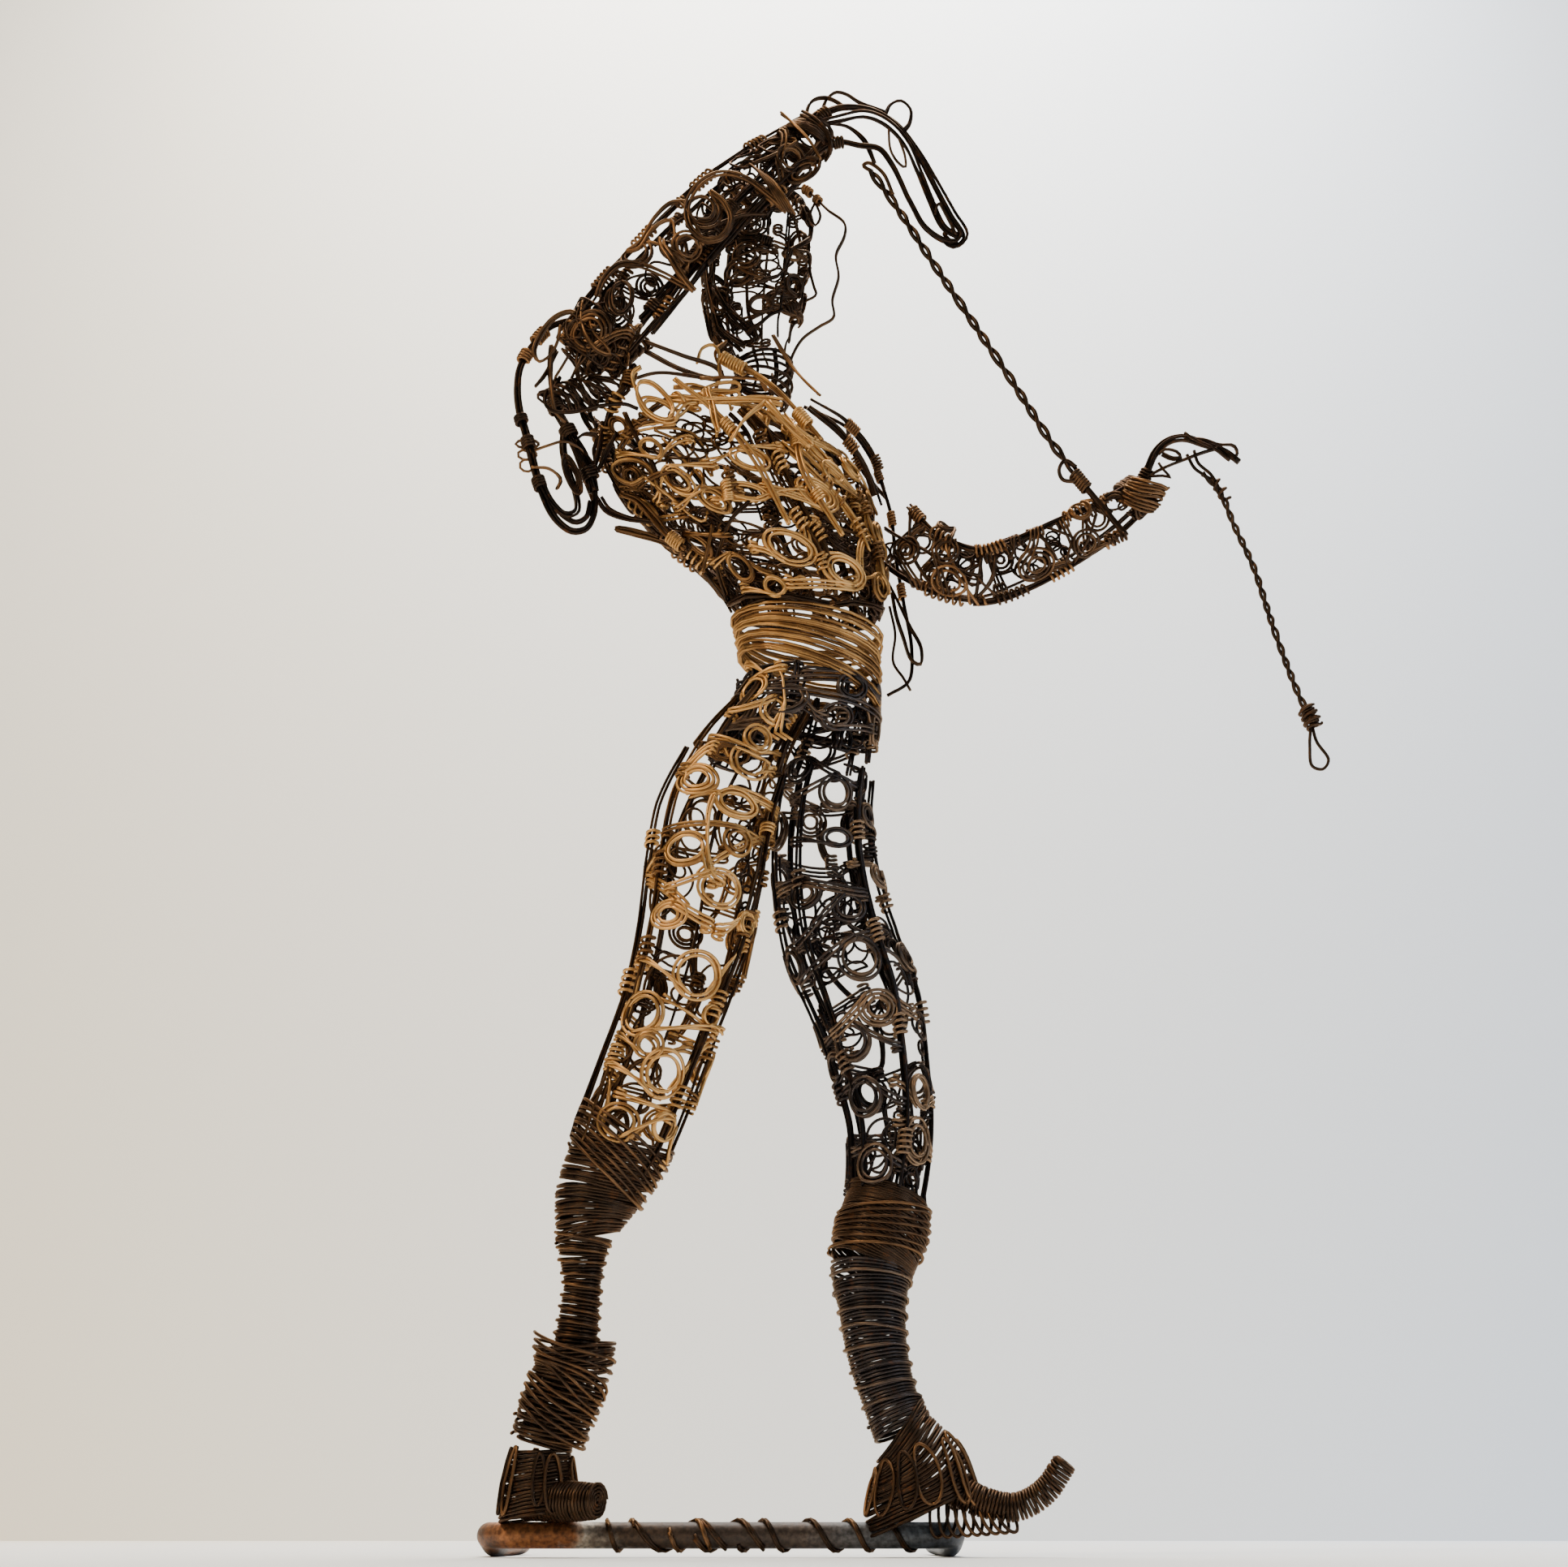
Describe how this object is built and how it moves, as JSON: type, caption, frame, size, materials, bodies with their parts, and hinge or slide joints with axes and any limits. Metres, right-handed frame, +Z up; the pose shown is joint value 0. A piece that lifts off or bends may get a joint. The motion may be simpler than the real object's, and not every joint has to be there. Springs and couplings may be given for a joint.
{
  "type": "wire sculpture",
  "caption": "Standing figure of bent and wound steel wire in a short scrolled jacket, one arm raised and one held out, each hand with a twisted stick, on a bent bar.",
  "frame": {"origin": "bottom centre of the bounding box, on the surface the base stands on", "axes": "+Z up along the figure's height, +X towards the outstretched arm, -Y towards the side the chest faces"},
  "size_m": [0.301, 0.1324, 0.5556],
  "materials": {
    "rusty_rod": "hot-rolled bar, brown mill scale with rust patches",
    "black_wire": "black annealed wire, satin, a little brown at the bends",
    "bronze_wire": "annealed wire toned bronze, satin, warm highlights",
    "blued_wire": "blued annealed wire, satin, cool highlights"
  },
  "bodies": {
    "root": {"base_rod": "rusty_rod", "base_wrap": "black_wire", "right_foot": "black_wire", "right_ankle_cuff": "black_wire", "right_shin": "black_wire", "right_knee_winding": "black_wire", "right_thigh": "bronze_wire", "left_foot": "black_wire", "left_shin": "blued_wire", "left_knee_winding": "black_wire", "left_thigh": "blued_wire", "pelvis": "blued_wire", "waist_sash": "bronze_wire", "jacket_right_front": "bronze_wire", "jacket_left_front": "bronze_wire", "jacket_back": "black_wire", "left_lapel": "bronze_wire", "right_lapel": "bronze_wire", "jacket_tail": "black_wire", "left_shoulder": "black_wire", "shoulder_loop": "black_wire", "neck_coil": "black_wire", "head": "black_wire", "brow_lock": "black_wire", "right_shoulder_cap": "black_wire", "right_upper_arm": "black_wire", "right_forearm": "black_wire", "left_upper_arm": "black_wire", "left_forearm": "black_wire", "right_hand": "black_wire", "left_hand": "black_wire", "right_stick": "black_wire", "left_stick": "black_wire"}
  },
  "joints": []
}
